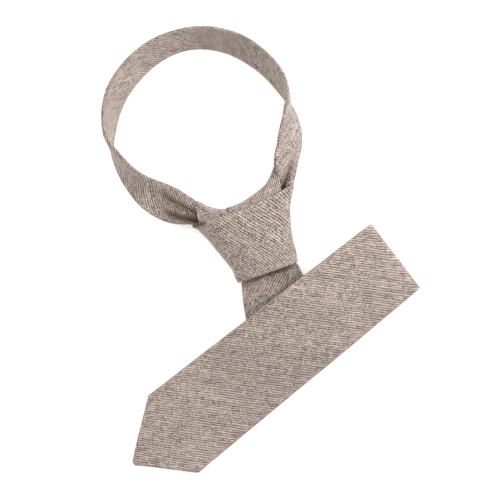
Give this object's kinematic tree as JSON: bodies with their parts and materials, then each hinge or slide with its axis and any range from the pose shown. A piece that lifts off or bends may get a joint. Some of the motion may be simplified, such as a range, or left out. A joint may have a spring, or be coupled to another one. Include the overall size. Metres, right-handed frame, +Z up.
{
  "type": "skinny tie",
  "caption": "Skinny necktie in taupe melange cloth, knotted, lying flat with its neck loop open and its blade folded over to one side.",
  "frame": {"origin": "on the surface that the tie lies on, under the middle of its bounding box", "axes": "+Z up from the surface, +Y towards the neck loop and +X to the right, as the picture shows it from above"},
  "size_m": [0.2206, 0.3092, 0.0252],
  "materials": {
    "knot_cloth": "soft matte melange weave on the bias",
    "band_cloth": "soft matte melange weave on the bias",
    "blade_cloth": "soft matte melange weave on the bias"
  },
  "bodies": {
    "root": {"knot_front": "knot_cloth", "knot_left_wrap": "knot_cloth", "knot_right_wrap": "knot_cloth", "knot_core": "knot_cloth", "neck_band": "band_cloth", "front_blade": "blade_cloth", "tail_blade": "blade_cloth"}
  },
  "joints": []
}
